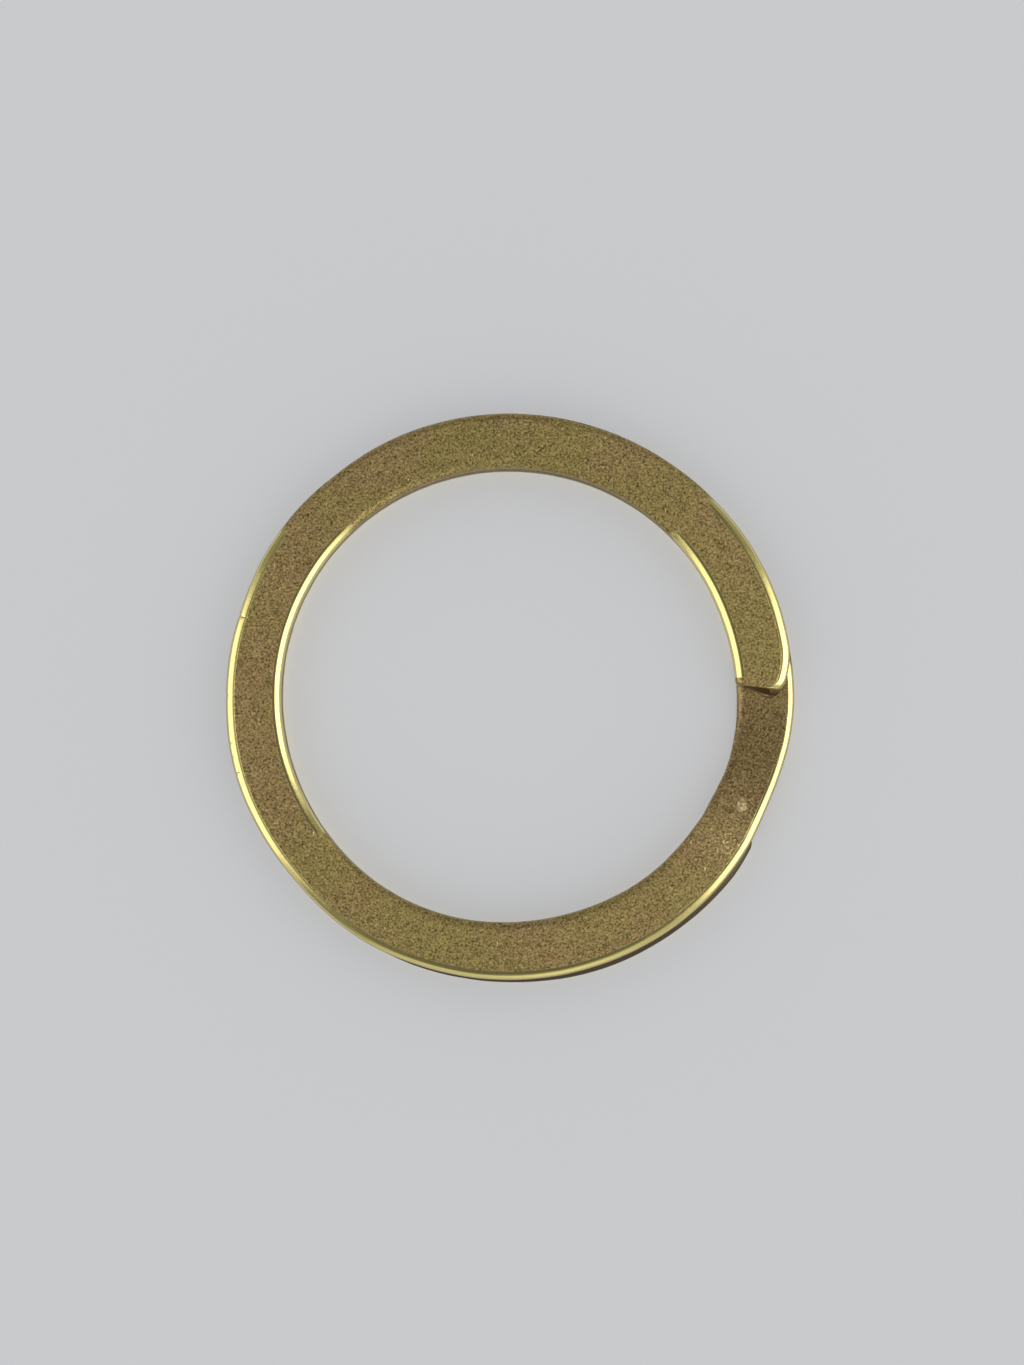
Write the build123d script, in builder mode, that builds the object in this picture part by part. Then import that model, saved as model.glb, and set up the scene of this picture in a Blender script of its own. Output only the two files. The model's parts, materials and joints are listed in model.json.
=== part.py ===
from build123d import *
import math
import os

# A flat split key ring in millimetres: one flat strip of brass, wound almost twice round.
# The origin is the middle of the eye, half way up the two turns, with +Z out through the eye.
# Angles are degrees about +Z from +X, and the strip is followed the way they grow.

# the strip
eye_diameter = 25.6             # inside of each turn
strip_width = 3.1               # across the flat
strip_thickness = 1.2
shoulder_radius = 0.4           # rolled round along both edges, above and below

# how it is wound
turn_gap = 0.05                 # the two sprung turns all but touch
turn_shift = 0.1                # each turn lies this far off the shared middle, opposite ways
shift_direction = 130.0         # the way that the top turn lies off
top_end_angle = 2.3             # where the top turn is sheared off
crossover_arc = 34.0            # the stretch in which the strip steps down by one turn
crossover_dip = 0.15            # the step flattens the round outline inwards by this much
crossover_sections = 13

# the sheared ends
end_slant = 8.0                 # the cut is off square by this much, seen from above
end_rake = 12.0                 # and leans, so that the side next to the other turn runs longer
taper_arc = 7.5                 # the outer edge draws in over this much of the end
taper_depth = 0.4               # and by this much
taper_blend_radius = 4.0
outer_corner_extra = 0.15       # the sheared corners are rounder than the shoulders by this much
inner_corner_extra = 0.05
end_allowance = 4.0             # arc wound past the end, then sheared away
shear_reach = 4.0               # the shear is larger than the strip by this much

outer_radius = eye_diameter / 2 + strip_width
middle_radius = eye_diameter / 2 + strip_width / 2
turn_level = (strip_thickness + turn_gap) / 2
crossover_start = top_end_angle - crossover_arc
crossover_middle = top_end_angle - crossover_arc / 2
turn_arc = 360 - crossover_arc
outer_corner_radius = shoulder_radius + outer_corner_extra
inner_corner_radius = shoulder_radius + inner_corner_extra


def heading(angle):
    """The level direction at an angle about +Z."""
    return Vector(math.cos(math.radians(angle)), math.sin(math.radians(angle)), 0)


def turn_centre(share):
    """The middle of the turn that the strip is on, from the top turn at 0 to the bottom one at 1."""
    side = 1 - 2 * share
    return heading(shift_direction) * (turn_shift * side) + Vector(0, 0, turn_level * side)


def strip_middle(angle):
    """The middle of the strip at an angle of the crossover."""
    along = (angle - crossover_start) / crossover_arc
    share = along * along * (3 - 2 * along)
    dip = crossover_dip * math.sin(math.pi * along) ** 2
    return turn_centre(share) + heading(angle) * (middle_radius - dip)


def crossover_plane(angle):
    """The plane square to the strip at an angle of the crossover, level across the strip."""
    small = crossover_arc / 1000
    ahead = strip_middle(angle + small) - strip_middle(angle - small)
    return Plane(origin=strip_middle(angle), x_dir=heading(angle), z_dir=ahead)


def turn_plane(angle):
    """The plane square to a turn about the origin, with its X outwards and its Z along the strip."""
    return Plane(origin=heading(angle) * middle_radius, x_dir=heading(angle), z_dir=heading(angle + 90))


# One turn is wound from square strip about the origin, and sheared and drawn in at its free end.
# Its corners are rounded first, so that the shoulders can run on round the end.
end_plane = turn_plane(top_end_angle)
wound_on_plane = turn_plane(crossover_start)
shear_plane = end_plane.rotated((-end_rake, -end_slant, 0))
taper_start = heading(top_end_angle + taper_arc) * outer_radius
taper_end = heading(top_end_angle) * (outer_radius - taper_depth)
taper_run = taper_start - taper_end
taper_plane = Plane(origin=taper_end, x_dir=taper_run, z_dir=Vector(0, 0, 1).cross(taper_run))

with BuildPart() as turn:
    with BuildSketch(turn_plane(top_end_angle - end_allowance)):
        Rectangle(strip_width, strip_thickness)
    revolve(axis=Axis.Z, revolution_arc=turn_arc + end_allowance)
    for cut_plane in (shear_plane, taper_plane):
        with BuildSketch(cut_plane):
            Rectangle(strip_width + shear_reach, strip_thickness + shear_reach)
        extrude(amount=-shear_reach, mode=Mode.SUBTRACT)
    taper_edges = turn.edges().filter_by(Axis.Z)
    fillet(taper_edges.sort_by_distance(taper_start)[0], taper_blend_radius)
    for corner, radius in ((0, inner_corner_radius), (-1, outer_corner_radius)):
        sheared_face = turn.faces().sort_by_distance(end_plane.origin)[0]
        across = Axis(end_plane.origin, end_plane.x_dir)
        fillet(sheared_face.edges().sort_by(across)[corner], radius)
    rims = turn.faces().filter_by(Axis.Z).edges()
    free_rims = rims.filter_by(lambda rim: abs(wound_on_plane.to_local_coords(rim @ 0.5).Z) > turn_gap)
    fillet(free_rims, shoulder_radius)

# Turned over about the line through the crossover's middle, the top turn is the bottom one too.
turned_over = turn.part.rotate(Axis((0, 0, 0), heading(crossover_middle)), 180)

with BuildPart() as split_ring:
    add(turn.part.moved(Location(turn_centre(0))))
    add(turned_over.moved(Location(turn_centre(1))))
    for section in range(crossover_sections):
        angle = crossover_start + crossover_arc * section / (crossover_sections - 1)
        with BuildSketch(crossover_plane(angle)):
            RectangleRounded(strip_width, strip_thickness, shoulder_radius)
    loft()

split_ring.part.label = "split_ring"
os.makedirs("parts", exist_ok=True)
export_step(split_ring.part, "parts/split_ring.step")
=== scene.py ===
import json
import math

import bmesh
import bpy
from mathutils import Matrix, Vector, noise


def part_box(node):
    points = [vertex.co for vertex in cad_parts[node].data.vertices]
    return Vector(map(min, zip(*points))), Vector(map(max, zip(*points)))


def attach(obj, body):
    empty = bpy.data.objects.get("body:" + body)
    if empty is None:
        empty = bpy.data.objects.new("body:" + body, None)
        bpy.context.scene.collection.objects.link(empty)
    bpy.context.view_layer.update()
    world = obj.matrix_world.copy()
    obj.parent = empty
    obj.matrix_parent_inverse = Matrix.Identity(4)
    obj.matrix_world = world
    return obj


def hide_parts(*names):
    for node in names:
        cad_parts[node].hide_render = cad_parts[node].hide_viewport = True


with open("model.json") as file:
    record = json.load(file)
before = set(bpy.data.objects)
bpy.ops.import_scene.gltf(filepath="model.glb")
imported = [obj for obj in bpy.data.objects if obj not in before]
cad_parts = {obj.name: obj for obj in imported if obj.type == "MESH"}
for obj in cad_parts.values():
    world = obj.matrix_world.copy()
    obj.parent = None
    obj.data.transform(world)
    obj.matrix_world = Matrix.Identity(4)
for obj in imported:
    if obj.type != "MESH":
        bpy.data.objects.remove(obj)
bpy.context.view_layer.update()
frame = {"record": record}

mm = 0.001
nodeLow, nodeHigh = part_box("split_ring")
eyeMount = next(mount for mount in frame["record"]["mounts"] if mount["name"] == "eye")
print("frame: ring", [round(side / mm, 2) for side in nodeHigh - nodeLow], "mm")


class Signal:
    # one value, colour or vector on its way through a material; the operators add Math nodes
    def __init__(self, paint, socket):
        self.paint = paint
        self.socket = socket

    def math(self, operation, *others):
        values = dict(enumerate((self,) + others))
        return self.paint.node("ShaderNodeMath", {"operation": operation}, values)

    def __add__(self, other):
        return self.math("ADD", other)

    def __sub__(self, other):
        return self.math("SUBTRACT", other)

    def __rsub__(self, other):
        return self.paint.node("ShaderNodeMath", {"operation": "SUBTRACT"}, {0: other, 1: self})

    def __mul__(self, other):
        return self.math("MULTIPLY", other)

    def __truediv__(self, other):
        return self.math("DIVIDE", other)

    def __pow__(self, other):
        return self.math("POWER", other)

    __radd__ = __add__
    __rmul__ = __mul__


class Paint:
    # one material under construction
    def __init__(self, name):
        self.material = bpy.data.materials.new(name)
        self.material.use_nodes = True
        self.tree = self.material.node_tree
        self.tree.nodes.clear()

    def node(self, kind, settings=None, sockets=None, out=0):
        made = self.tree.nodes.new(kind)
        for name, value in (settings or {}).items():
            setattr(made, name, value)
        for key, value in (sockets or {}).items():
            if isinstance(value, Signal):
                self.tree.links.new(value.socket, made.inputs[key])
            else:
                made.inputs[key].default_value = value
        return Signal(self, made.outputs[out]) if len(made.outputs) else None

    def places(self):
        # object coordinates in millimetres
        here = self.node("ShaderNodeTexCoord", out=3)
        return self.node("ShaderNodeVectorMath", {"operation": "SCALE"}, {0: here, "Scale": 1 / mm})

    def stretched(self, vector, factors):
        return self.node("ShaderNodeVectorMath", {"operation": "MULTIPLY"}, {0: vector, 1: factors})

    def noise(self, vector, scale, detail=2.0, roughness=0.5):
        sockets = {"Vector": vector, "Scale": scale, "Detail": detail, "Roughness": roughness}
        return self.node("ShaderNodeTexNoise", None, sockets)

    def smooth(self, value, low, high, toLow=0.0, toHigh=1.0):
        settings = {"interpolation_type": "SMOOTHSTEP"}
        sockets = {"Value": value, "From Min": low, "From Max": high, "To Min": toLow, "To Max": toHigh}
        return self.node("ShaderNodeMapRange", settings, sockets)

    def mix(self, factor, first, second, blend="MIX"):
        settings = {"data_type": "RGBA", "blend_type": blend}
        return self.node("ShaderNodeMix", settings, {0: factor, 6: first, 7: second}, out=2)

    def grey(self, value):
        return self.node("ShaderNodeCombineColor", None, {0: value, 1: value, 2: value})

    def attribute(self, name):
        return self.node("ShaderNodeAttribute", {"attribute_name": name}, out=2)

    def finish(self, shader):
        self.node("ShaderNodeOutputMaterial", None, {"Surface": shader})
        return self.material


def colour(red, green, blue):
    # a screen colour out of 255, as the linear colour that the shader takes
    return tuple((part / 255) ** 2.2 for part in (red, green, blue)) + (1.0,)


cameraLook = {
    "lens": 120.0,              # mm
    "sensor": 36.0,
    "frameHeight": 76.37,       # mm of the table that the frame takes in
    "lean": 2.0,                # degrees off straight down
    "leanHeading": -45.0,       # the side that it looks from
    "aimAcross": 0.11,          # mm from the middle of the eye to the middle of the frame
    "aimUp": 0.845,
}


def placeCamera(look):
    data = bpy.data.cameras.new("camera")
    data.lens = look["lens"]
    data.sensor_width = look["sensor"]
    data.clip_start = 0.01
    data.clip_end = 20.0
    camera = bpy.data.objects.new("camera", data)
    bpy.context.scene.collection.objects.link(camera)
    distance = look["lens"] / look["sensor"] * look["frameHeight"] * mm
    lean = math.radians(look["lean"])
    heading = math.radians(look["leanHeading"])
    back = Vector((math.sin(lean) * math.cos(heading), math.sin(lean) * math.sin(heading), math.cos(lean)))
    aim = Vector((look["aimAcross"] * mm, look["aimUp"] * mm, nodeHigh.z))
    camera.location = aim + back * distance
    upwards = Vector((0, 1, 0))
    right = upwards.cross(back).normalized()
    upwards = back.cross(right)
    camera.rotation_mode = "QUATERNION"
    turn = [[right.x, upwards.x, back.x], [right.y, upwards.y, back.y], [right.z, upwards.z, back.z]]
    camera.rotation_quaternion = Matrix(turn).to_quaternion()
    bpy.context.scene.camera = camera


placeCamera(cameraLook)
print("camera placed")


stripLook = {
    "thickness": 1.2,           # mm, one turn
    "shoulder": 0.4,            # radius rolled along both edges
    "turnShift": 0.1,           # each turn lies off the shared middle, opposite ways
    "shiftHeading": 130.0,      # degrees, the way that the top turn lies off
    "topEnd": 1.7,              # degrees, where the top turn is sheared off
    "stepArc": 34.0,            # degrees over which the strip steps down
    "bottomRunOn": 1.8,         # degrees by which the bottom end runs on further
    "stepDip": 0.17,            # mm by which the step flattens the outline
    "endSlant": 9.0,            # degrees off square, seen from above
    "endRake": 4.0,             # degrees that the cut leans
    "taperLength": 2.1,         # mm in which the outer edge draws in
    "taperCurve": 1.7,
    "taperDepth": (0.6, 0.16),  # at the top end and at the bottom end
    "outerCorner": 0.6,         # radius of the sheared corners, seen from above
    "innerCorner": 0.3,
    "endRun": 0.3,              # the mesh stays fine for this much past the taper
    "endSteps": 24,
    "shearedEdge": 0.05,        # radius left on the sheared edges
    "lip": 0.5,                 # how far the burr runs out under the end
    "lipStart": (-1.2, 1.6),    # mm across where it rises, and over how much
    "lipStop": (0.8, 0.45),     # and where it falls away again
    "lipLeft": 0.25,            # share of it that runs on to the outer corner
    "waviness": 0.012,          # mm of unevenness along both edges
    "margin": 0.02,             # kept free inside the width of the model
    "heightMargin": 0.001,      # and inside its height
    "ringStep": 0.9,            # degrees between the mesh's sections
}
# each turn is a little out of round: (degrees, mm outwards, degrees wide)
topOuterDents = [(25, 0.11, 20), (127, -0.06, 9), (161, -0.06, 7), (195, 0.09, 10), (220, -0.05, 7),
                 (240, 0.07, 9), (330, -0.06, 12)]
topInnerDents = [(20, -0.14, 24), (284, -0.19, 27), (322, -0.09, 11), (342, 0.14, 7)]
bottomOuterDents = [(250, 0.05, 14), (288, 0.09, 14), (315, 0.07, 20)]
bottomInnerDents = [(145, 0.22, 50), (290, -0.10, 28), (20, -0.10, 24), (0, -0.09, 7), (342, 0.14, 7)]
# small nicks across the outer shoulder: (degrees, mm deep, degrees wide)
nicks = [(163.3, 0.05, 0.16), (179.8, 0.03, 0.2), (189.6, 0.04, 0.16), (192.4, 0.03, 0.14),
         (195.9, 0.05, 0.2)]

ringHeight = (nodeHigh.z - nodeLow.z) / mm - stripLook["heightMargin"]
eyeRadius = eyeMount["dims"]["r_mm"]
turnArc = 360 - stripLook["stepArc"]
stepStart = stripLook["topEnd"] + turnArc
bottomEnd = stepStart + stripLook["stepArc"] + turnArc + stripLook["bottomRunOn"]
shiftAcross = stripLook["turnShift"] * math.sin(math.radians(stripLook["shiftHeading"]))
outerRadius = (nodeHigh.y - nodeLow.y) / 2 / mm - shiftAcross - stripLook["margin"]
stripWidth = outerRadius - eyeRadius
middleRadius = eyeRadius + stripWidth / 2
turnLevel = (ringHeight - stripLook["thickness"]) / 2
perDegree = math.radians(1) * middleRadius      # mm of strip in one degree
endLength = stripLook["taperLength"] + stripLook["endRun"]


def easeInOut(share):
    share = min(max(share, 0.0), 1.0)
    return share * share * (3 - 2 * share)


def bumpsAt(angle, bumps):
    total = 0.0
    for place, height, width in bumps:
        away = (angle - place + 180) % 360 - 180
        total += height * math.exp(-(away / width) ** 2)
    return total


def stripMiddle(angle):
    # the middle of the strip, in mm, at an angle counted on from the top turn's end
    along = min(max((angle - stepStart) / stripLook["stepArc"], 0.0), 1.0)
    side = 1 - 2 * easeInOut(along)
    radius = middleRadius - stripLook["stepDip"] * math.sin(math.pi * along ** 0.7) ** 2
    turn = math.radians(angle)
    shift = math.radians(stripLook["shiftHeading"])
    offset = stripLook["turnShift"] * side
    return Vector((radius * math.cos(turn) + offset * math.cos(shift),
                   radius * math.sin(turn) + offset * math.sin(shift),
                   turnLevel * side))


def stripPoint(angle, across, up):
    # a point of the strip: across outwards from its middle, up square to its face
    turn = math.radians(angle)
    outwards = Vector((math.cos(turn), math.sin(turn), 0))
    ahead = (stripMiddle(angle + 0.1) - stripMiddle(angle - 0.1)).normalized()
    upwards = outwards.cross(ahead)
    return stripMiddle(angle) + outwards * across + upwards * up


def endTrims(away, end):
    # how much of the strip is missing at its inner and outer edges, that far from the sheared end
    depth = stripLook["taperDepth"][0 if end < 0 else 1]
    outer = depth * max(1 - away / stripLook["taperLength"], 0.0) ** stripLook["taperCurve"]
    trims = []
    for radius, already in ((stripLook["innerCorner"], 0.0), (stripLook["outerCorner"], outer)):
        left = max(radius - away, 0.0)
        trims.append(already + radius - math.sqrt(radius * radius - left * left))
    return trims


def lipAt(across):
    # how far the burr runs out, at that place across the end
    start, rising = stripLook["lipStart"]
    stop, falling = stripLook["lipStop"]
    rise = easeInOut((across - start) / rising)
    fall = easeInOut((across - stop) / falling)
    return stripLook["lip"] * rise * (1 - (1 - stripLook["lipLeft"]) * fall)


def endReach(across, up):
    # how far the sheared face stands out along the strip; up is towards the open side
    lift = up / stripLook["thickness"] + 0.5
    slant = math.tan(math.radians(stripLook["endSlant"])) * across
    rake = -math.tan(math.radians(stripLook["endRake"])) * up
    # the burr leans out more and more towards the other turn, and most in the last fifth
    foot = 0.70 * (1 - lift) ** 1.2 + 0.30 * easeInOut(1 - lift / 0.2)
    return slant + rake + lipAt(across) * foot


arcSteps = 6                    # mesh steps round half a shoulder
flatSteps = 14                  # across the flat
wallSteps = 3                   # down the wall
columns = 2 * arcSteps + flatSteps
rows = 2 * arcSteps + wallSteps


def sectionEdges(innerTrim, outerTrim, inset):
    # the section's outline as four runs of a grid's edge: top, bottom, inner side, outer side
    low = -stripWidth / 2 + innerTrim + inset
    high = stripWidth / 2 - outerTrim - inset
    half = stripLook["thickness"] / 2 - inset
    radius = stripLook["shoulder"] - inset
    top, side = [], []
    for step in range(arcSteps + 1):
        bend = math.radians(45 + 45 * step / arcSteps)
        top.append((low + radius - radius * math.cos(bend), half - radius + radius * math.sin(bend)))
    for step in range(1, flatSteps):
        top.append((low + radius + (high - low - 2 * radius) * step / flatSteps, half))
    for step in range(arcSteps + 1):
        bend = math.radians(90 - 45 * step / arcSteps)
        top.append((high - radius + radius * math.cos(bend), half - radius + radius * math.sin(bend)))
    for step in range(arcSteps + 1):
        bend = math.radians(45 - 45 * step / arcSteps)
        side.append((radius - radius * math.cos(bend), half - radius + radius * math.sin(bend)))
    for step in range(1, wallSteps):
        side.append((0.0, (half - radius) * (1 - 2 * step / wallSteps)))
    for step in range(arcSteps + 1):
        bend = math.radians(45 * step / arcSteps)
        side.append((radius - radius * math.cos(bend), -half + radius - radius * math.sin(bend)))
    bottom = [(across, -up) for across, up in top]
    inner = [(low + depth, up) for depth, up in side]
    outer = [(high - depth, up) for depth, up in side]
    return top, bottom, inner, outer


def loopOf(edges):
    top, bottom, inner, outer = edges
    return top[:-1] + outer[:-1] + bottom[:0:-1] + inner[:0:-1]


def sectionAngles():
    # the mesh's sections: (angle, mm from the nearer end, -1 at the top end and 1 at the bottom one),
    # closer together at the ends and nicks
    endSteps = stripLook["endSteps"]
    near = [endLength * (1 - math.cos(math.pi / 2 * step / endSteps)) for step in range(endSteps)]
    start = stripLook["topEnd"] + endLength / perDegree
    finish = bottomEnd - endLength / perDegree
    count = round((finish - start) / stripLook["ringStep"])
    middle = {start + (finish - start) * step / count for step in range(count + 1)}
    for place, depth, width in nicks:
        middle |= {place + width * step / 2 for step in range(-4, 5)}
    sections = [(stripLook["topEnd"] + away / perDegree, away, -1) for away in near]
    sections += [(angle, endLength, 0) for angle in sorted(middle)]
    sections += [(bottomEnd - away / perDegree, away, 1) for away in reversed(near)]
    return sections


# wear, and where painted shade falls on the step and the walls, with stretches in degrees along the strip
wearLook = {
    "dullOuter": [(50, 138)],   # where the edges were never rubbed bright
    "dullInner": [(50, 128), (222, 364)],
    "dullSoft": 12,             # degrees over which the rubbing fades
    "rubStart": 0.09,           # mm short of the shoulder where the rubbing starts
    "rubSoft": 0.07,
    "thinRub": (350, 372, 8),   # the rubbed edge is narrower here, past the top end: from, to, soft edge
    "thinBy": 0.14,             # mm
    "bareEnd": (0.75, 0.3),     # mm of the inner edge that stay dull by a sheared end, and its soft part
    "stepShaded": (338, 362, 14),  # painted shade, darker and browner, on the step where it slopes down under the top end: from, to, soft edge
    "innerWallShade": 0.9,           # the painted shade on the wall climbs less far up the inner edge
}


def seamAt(angle, up):
    # 1 on the side that lies against the other turn, where nothing rubs and where painted shade goes
    onTop = 1 - easeInOut((angle - stepStart + 10) / 12)
    onBottom = easeInOut((angle - stepStart - stripLook["stepArc"] - 3) / 6)
    lift = up / (stripLook["thickness"] / 2)
    return onTop * easeInOut((0.2 - lift) / 0.5) + onBottom * easeInOut((lift + 0.2) / 0.5)


def windowAt(angle, start, stop, soft):
    # 1 from start to stop, easing to 0 outside them
    away = abs(angle - (start + stop) / 2)
    return easeInOut(((stop - start) / 2 + soft - away) / soft)


def rubAt(angle, away, end, across, up):
    # 1 where the edge is rubbed bright, from just short of the shoulder outwards
    start = stripWidth / 2 - stripLook["shoulder"]
    start += wearLook["thinBy"] * windowAt(angle, *wearLook["thinRub"])
    edge = easeInOut((abs(across) - start + wearLook["rubStart"]) / wearLook["rubSoft"])
    spans = wearLook["dullOuter" if across > 0 else "dullInner"]
    dull = max(windowAt(angle, *span, wearLook["dullSoft"]) for span in spans)
    if across < 0 and end:
        bare, soft = wearLook["bareEnd"]
        dull = max(dull, easeInOut((bare - away) / soft))
    return edge * (1 - dull) * (1 - seamAt(angle, up))


def buildRing():
    edgeRadius = stripLook["shearedEdge"]
    verts, faces = [], []
    rolls, caps, seamShades, rubs, stepShades, seamShadows = [], [], [], [], [], []

    def place(angle, away, end, across, up):
        topShare = 1 - easeInOut((angle - stepStart) / stripLook["stepArc"])
        reach = endReach(across, -end * up) * (1 - away / endLength) ** 2 if end else 0.0
        spot = angle + end * reach / perDegree
        share = across / (stripWidth / 2)
        if share > 0:
            wave = bumpsAt(spot, topOuterDents) * topShare
            wave += bumpsAt(spot, bottomOuterDents) * (1 - topShare)
            nick = 0.0
            for at, depth, wide in nicks:
                if abs(spot - at) < 1:
                    nick += depth * math.exp(-((spot - at) / wide) ** 2)
            onShoulder = easeInOut((share - 0.75) / 0.1)
            across += share * wave - nick * onShoulder
        else:
            wave = bumpsAt(spot, topInnerDents) * topShare
            wave += bumpsAt(spot, bottomInnerDents) * (1 - topShare)
            across -= share * wave
        ripple = noise.noise(Vector((spot * 0.23, share * 0.8, 9.0 - 6.0 * topShare)))
        across += stripLook["waviness"] * ripple * share ** 2 - 0.004     # a hair inwards, to stay inside
        return stripPoint(spot, across, up) * mm

    sections = sectionAngles()
    for angle, away, end in sections:
        left = max(edgeRadius - away, 0.0)
        inset = edgeRadius - math.sqrt(edgeRadius * edgeRadius - left * left) if end else 0.0
        innerTrim, outerTrim = endTrims(away, end) if end else (0.0, 0.0)
        edges = sectionEdges(innerTrim, outerTrim, inset)
        for across, up in loopOf(edges):
            verts.append(place(angle, away, end, across, up))
            # measured from the drawn-in edges, so that the wear follows the sheared corners
            sideways = across + (outerTrim if across > 0 else -innerTrim)
            rolled = (abs(sideways) - stripWidth / 2) / stripLook["shoulder"] + 1
            rolls.append(min(max(rolled, 0.0), 1.0) * (1.0 if across > 0 else wearLook["innerWallShade"]))
            caps.append(0.0)
            # painted shade on the sides where the turns lie against each other, and a darker painted shadow
            # on the outer side of it
            seamShades.append(seamAt(angle, up))
            rubs.append(rubAt(angle, away, end, sideways, up))
            # painted shade on the step under the top end
            stepShades.append(windowAt(angle, *wearLook["stepShaded"]))
            seamShadows.append(seamAt(angle, up) * easeInOut(across))
    size = 2 * (columns + rows)
    for ring in range(len(sections) - 1):
        for point in range(size):
            following = (point + 1) % size
            a, b = ring * size + point, ring * size + following
            faces.append((a, b, b + size, a + size))

    def capEnd(first, angle, end):
        # closes an end with a grid between the four runs of its last section
        innerTrim, outerTrim = endTrims(0.0, end)
        top, bottom, inner, outer = sectionEdges(innerTrim, outerTrim, edgeRadius)
        grid = {}
        for column in range(columns + 1):
            grid[column, 0] = first + column
            grid[column, rows] = first + columns + rows + (columns - column)
        for row in range(rows + 1):
            grid[columns, row] = first + columns + row
            grid[0, row] = first + (size - row) % size
        for column in range(1, columns):
            for row in range(1, rows):
                u, v = column / columns, row / rows
                flat = []
                for axis in (0, 1):
                    ruled = (1 - v) * top[column][axis] + v * bottom[column][axis]
                    ruled += (1 - u) * inner[row][axis] + u * outer[row][axis]
                    ruled -= (1 - u) * (1 - v) * top[0][axis] + u * (1 - v) * top[-1][axis]
                    ruled -= (1 - u) * v * bottom[0][axis] + u * v * bottom[-1][axis]
                    flat.append(ruled)
                grid[column, row] = len(verts)
                verts.append(place(angle, 0.0, end, flat[0], flat[1]))
                rolls.append(0.0)
                low = v if end < 0 else 1 - v
                caps.append(2.0 if low > 0.84 and -1.15 < flat[0] < 1.1 else 1.0)  # 2 on the burr's rim
                seamShades.append(0.0)
                rubs.append(0.0)
                stepShades.append(0.0)
                seamShadows.append(0.0)
        for column in range(columns):
            for row in range(rows):
                near = [grid[column, row], grid[column, row + 1]]
                far = [grid[column + 1, row + 1], grid[column + 1, row]]
                quad = near + far
                faces.append(quad if end < 0 else quad[::-1])

    capEnd(0, sections[0][0], -1)
    capEnd((len(sections) - 1) * size, sections[-1][0], 1)

    mesh = bpy.data.meshes.new("brass_ring")
    mesh.from_pydata([tuple(vert) for vert in verts], [], faces)
    signals = {"roll": rolls, "sheared": caps, "seamShade": seamShades, "rub": rubs, "stepShade": stepShades, "seamShadow": seamShadows}
    for name, values in signals.items():
        mesh.attributes.new(name, "FLOAT", "POINT").data.foreach_set("value", values)
    mesh.update()
    for polygon in mesh.polygons:
        polygon.use_smooth = True
    ring = bpy.data.objects.new("brass_ring", mesh)
    bpy.context.scene.collection.objects.link(ring)
    return ring


ring = buildRing()
print("ring built:", len(ring.data.vertices), "points,", len(ring.data.polygons), "faces")


brassLook = {
    "olive": (0.360, 0.284, 0.106, 1.0),
    "brown": (0.376, 0.272, 0.119, 1.0),
    "pale": (0.95, 0.78, 0.42, 1.0),
    "rubbed": (0.84, 0.73, 0.29, 1.0),
    # painted shade for the side walls, and for where the turns lie against each other
    "shadedWall": (0.26, 0.20, 0.13, 1.0),
    # painted shade on the step, where it slopes down under the top end
    "stepShade": (0.270, 0.180, 0.090, 1.0),
    # painted shadow, the darkest, along the outer side where the turns lie together
    "seamShadow": (0.075, 0.058, 0.035, 1.0),
    # the sheared end face: rough metal, darkened further as painted shade
    "sheared": (0.16, 0.12, 0.07, 1.0),
    "burr": (0.62, 0.46, 0.27, 1.0),
    "faceRoughness": 0.44,
    "rubbedRoughness": 0.15,
    "grainSize": 0.12,          # mm
    "grainDepth": 0.012,
    "grainContrast": 3.3,
    "stepShadeCover": 0.55,         # how far each layer hides what lies under it
    "seamShadeCover": 0.75,
    "shadedWallCover": 0.85,
    "seamShadowCover": 0.9,
    "wallMottle": 1.2,
}
# marks on the top face: (across, up, half width, half length) in mm
scratches = [(-0.7, -13.7, 0.06, 0.22), (-11.0, -7.6, 0.07, 0.28), (-12.9, 6.1, 0.06, 0.16),
             (-13.2, 7.4, 0.05, 0.2), (-10.3, 10.8, 0.05, 0.3), (-5.7, 12.2, 0.06, 0.14),
             (-2.1, 13.6, 0.05, 0.26), (8.7, 10.5, 0.05, 0.2), (10.1, -8.1, 0.09, 0.2),
             (10.9, -9.6, 0.08, 0.22), (-7.0, -12.9, 0.06, 0.14)]
ovalMark = (12.95, -6.05, 0.46, 0.56)
handledSpot = (12.0, -8.3, 1.9, 1.9)


def spotAt(paint, here, spot):
    # 1 in the middle of an oval spot of the top face, down to 0 at its rim
    across, up, halfWidth, halfLength = spot
    offset = paint.node("ShaderNodeVectorMath", {"operation": "SUBTRACT"}, {0: here, 1: (across, up, 0)})
    scaled = paint.stretched(offset, (1 / halfWidth, 1 / halfLength, 0))
    reach = paint.node("ShaderNodeVectorMath", {"operation": "LENGTH"}, {0: scaled}, out=1)
    return paint.smooth(reach, 0.0, 1.0, 1.0, 0.0)


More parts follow.
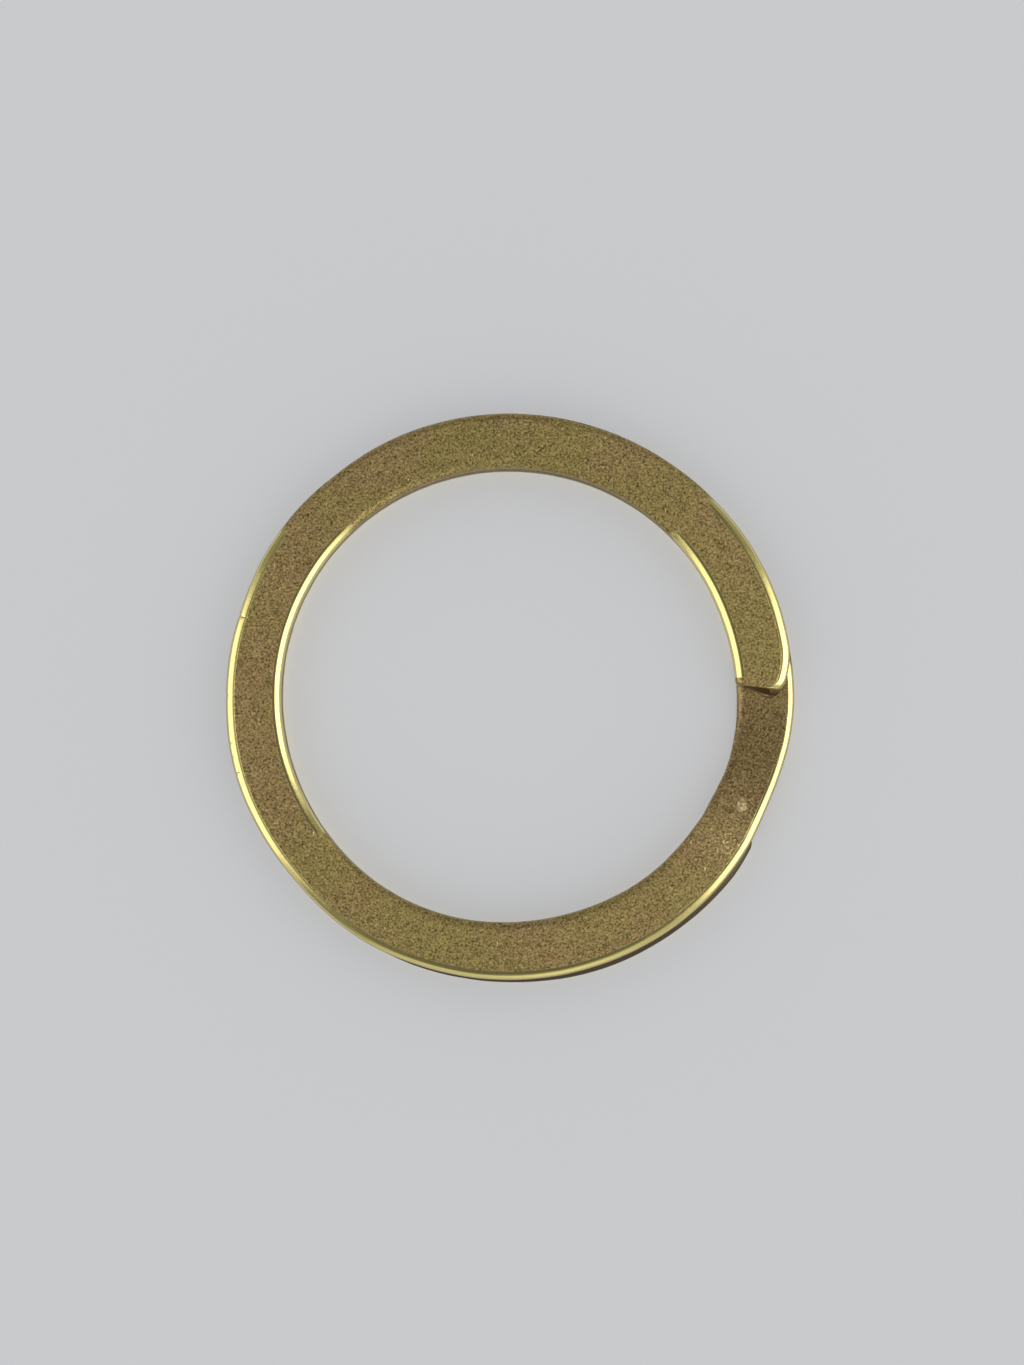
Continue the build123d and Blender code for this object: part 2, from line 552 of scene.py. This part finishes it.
def brass(look):
    paint = Paint("tarnished_brass")
    here = paint.places()
    roll = paint.attribute("roll")
    rub = paint.attribute("rub")
    stepShade = paint.attribute("stepShade")
    seamShade = paint.attribute("seamShade")
    sheared = paint.attribute("sheared")
    seamShadow = paint.attribute("seamShadow")
    fine = paint.noise(here, 1 / look["grainSize"], 2.0, 0.6)
    coarse = paint.noise(here, 1 / look["grainSize"] / 3, 2.0, 0.6)
    patch = paint.noise(here, 0.16, 2.0, 0.5)
    # along both edges the tarnish is rubbed away, as far as the wall
    rubbed = paint.smooth(rub + (coarse - 0.5) * 0.3, 0.3, 0.6)
    # the steep walls get the painted shade
    shadedWall = paint.smooth(roll + (coarse - 0.5) * 0.1, 0.80, 0.97)
    tarnish = paint.mix(paint.smooth(patch, 0.40, 0.62), look["olive"], look["brown"])
    # pale flecks, the handled spot, the scratches and the oval mark
    flecks = paint.noise(paint.stretched(here, (5.5, 1.6, 5.5)), 1.0, 2.0, 0.7)
    fleck = paint.smooth(flecks, 0.72, 0.80) * 0.8
    speckle = paint.noise(here, 6.5, 1.0, 0.5)
    handled = spotAt(paint, here, handledSpot)
    fleck = fleck.math("MAXIMUM", paint.smooth(speckle - handled * 0.1, 0.72, 0.80, 0.0, 0.5))
    fleck = fleck.math("MAXIMUM", paint.smooth(speckle + handled * 0.1, 0.60, 0.72) * handled * 0.55)
    for spot in scratches:
        fleck = fleck.math("MAXIMUM", paint.smooth(spotAt(paint, here, spot), 0.3, 0.7, 0.0, 0.75))
    oval = spotAt(paint, here, ovalMark)
    fleck = fleck.math("MAXIMUM", paint.smooth(oval + (coarse - 0.5) * 0.6, 0.15, 0.5, 0.0, 0.46))
    # painted shade on the step under the top end
    tarnish = paint.mix(stepShade * look["stepShadeCover"], tarnish, look["stepShade"])
    tarnish = paint.mix(fleck, tarnish, look["pale"])
    shade = 1 + (fine - 0.5) * look["grainContrast"] + (coarse - 0.5) * 0.6
    tarnish = paint.mix(1.0, tarnish, paint.grey(shade), "MULTIPLY")
    # painted shade where the turns lie against each other
    tarnish = paint.mix(seamShade * look["seamShadeCover"], tarnish, look["shadedWall"])
    base = paint.mix(rubbed, tarnish, look["rubbed"])
    # painted shade down the walls
    base = paint.mix(shadedWall * look["shadedWallCover"], base, look["shadedWall"])
    # painted shadow along the outer side between the turns
    base = paint.mix(seamShadow * look["seamShadowCover"], base, look["seamShadow"])
    mottle = 1 + (coarse - 0.5) * look["wallMottle"] * shadedWall
    base = paint.mix(1.0, base, paint.grey(mottle), "MULTIPLY")
    # the sheared end face, darkened as painted shade as well as for its rough metal
    base = paint.mix(paint.smooth(sheared, 0.3, 0.9), base, look["sheared"])
    base = paint.mix(paint.smooth(sheared, 1.2, 1.8), base, look["burr"])
    worn = rubbed * (1 - shadedWall)
    roughness = look["faceRoughness"] + (fine - 0.5) * 0.25
    roughness = roughness * (1 - worn) + worn * (look["rubbedRoughness"] + (coarse - 0.5) * 0.1)
    height = fine * (1 - worn * 0.9) + coarse * 0.3
    grain = {"Strength": 0.5, "Distance": look["grainDepth"] * mm, "Height": height}
    bump = paint.node("ShaderNodeBump", None, grain)
    sockets = {"Base Color": base, "Metallic": 1.0, "Roughness": roughness, "Normal": bump}
    return paint.finish(paint.node("ShaderNodeBsdfPrincipled", None, sockets))


ring.data.materials.append(brass(brassLook))
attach(ring, "root")
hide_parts("split_ring")
print("brass painted")


studioLook = {
    "tableSize": 3.0,           # metres across
    "table": colour(207, 208, 210),
    "daylight": 0.44,           # lights the table, and is kept out of the brass
    "dayTint": (0.98, 0.99, 1.0, 1.0),
    "topLamp": 1.5,             # shadowless light from above, for the table alone
    "tentRadius": 0.5,
    "tentDark": 0.24,           # the cloth's glow where no lamp stands behind it
    "tentTop": 0.13,            # and round the opening overhead
    "tentTint": (1.0, 0.985, 0.96),
}
# lamps behind the tent's cloth: (heading, degrees to each side, soft edge, degrees from overhead, glow)
tentLamps = [(187, 27, 8, 12, 1.4), (-9, 30, 12, 12, 2.2), (-62, 24, 14, 27, 0.28), (-95, 22, 16, 48, 0.4),
             (90, 48, 20, 34, 0.16)]


def buildTable(look):
    half = look["tableSize"] / 2
    level = nodeLow.z
    corners = ((-1, -1), (1, -1), (1, 1), (-1, 1))
    mesh = bpy.data.meshes.new("table")
    mesh.from_pydata([(x * half, y * half, level) for x, y in corners], [], [(0, 1, 2, 3)])
    table = bpy.data.objects.new("table", mesh)
    bpy.context.scene.collection.objects.link(table)
    paint = Paint("pale_table")
    grain = paint.noise(paint.places(), 0.5, 2.0, 0.5)
    sockets = {"Base Color": look["table"], "Roughness": 0.85 + grain * 0.1, "Specular IOR Level": 0.2}
    mesh.materials.append(paint.finish(paint.node("ShaderNodeBsdfPrincipled", None, sockets)))


def buildTent(look):
    # the light tent that the brass mirrors: glowing cloth with an opening overhead for the camera
    made = bmesh.new()
    bmesh.ops.create_uvsphere(made, u_segments=64, v_segments=32, radius=look["tentRadius"])
    below = [vert for vert in made.verts if vert.co.z < -0.01]
    bmesh.ops.delete(made, geom=below, context="VERTS")
    mesh = bpy.data.meshes.new("light_tent")
    made.to_mesh(mesh)
    made.free()
    tent = bpy.data.objects.new("light_tent", mesh)
    bpy.context.scene.collection.objects.link(tent)
    paint = Paint("tent_cloth")
    here = paint.node("ShaderNodeTexCoord", out=3)
    apart = paint.node("ShaderNodeSeparateXYZ", None, {0: here}).socket.node.outputs
    x, y, z = (Signal(paint, socket) for socket in apart)
    level = (x * x + y * y) ** 0.5
    high = z / look["tentRadius"]

    def overhead(reach, soft):
        # nothing straight overhead, and all of it further down than that many degrees
        below = math.cos(math.radians(reach + soft))
        above = math.cos(math.radians(max(reach - soft, 0)))
        return paint.smooth(high, below, above, 1.0, 0.0)

    glow = look["tentTop"] + (look["tentDark"] - look["tentTop"]) * overhead(30, 20)
    for heading, width, soft, reach, strength in tentLamps:
        facing = math.radians(heading)
        towards = (x * math.cos(facing) + y * math.sin(facing)) / (level + 0.0001)
        outside = math.cos(math.radians(width + soft))
        inside = math.cos(math.radians(width - soft))
        glow = paint.smooth(towards, outside, inside) * overhead(reach, 7) * strength + glow
    red, green, blue = (glow * part for part in look["tentTint"])
    light = paint.node("ShaderNodeCombineColor", None, {0: red, 1: green, 2: blue})
    cloth = paint.node("ShaderNodeEmission", None, {"Color": light, "Strength": 1.0})
    mesh.materials.append(paint.finish(cloth))
    tent.visible_camera = False
    tent.visible_diffuse = False
    tent.visible_shadow = False


def hangLamp(look):
    data = bpy.data.lights.new("top_lamp", "SUN")
    data.energy = look["topLamp"]
    data.angle = math.radians(40)
    data.use_shadow = False
    lamp = bpy.data.objects.new("top_lamp", data)
    lamp.location = (0.0, 0.0, look["tentRadius"])
    lamp.visible_glossy = False
    bpy.context.scene.collection.objects.link(lamp)


def lightWorld(look):
    world = bpy.data.worlds.new("studio")
    world.use_nodes = True
    background = world.node_tree.nodes["Background"]
    background.inputs["Color"].default_value = look["dayTint"]
    background.inputs["Strength"].default_value = look["daylight"]
    world.cycles_visibility.glossy = False
    bpy.context.scene.world = world


bpy.context.scene.view_settings.view_transform = "Standard"
lightWorld(studioLook)
buildTable(studioLook)
buildTent(studioLook)
hangLamp(studioLook)
print("table and lights set")
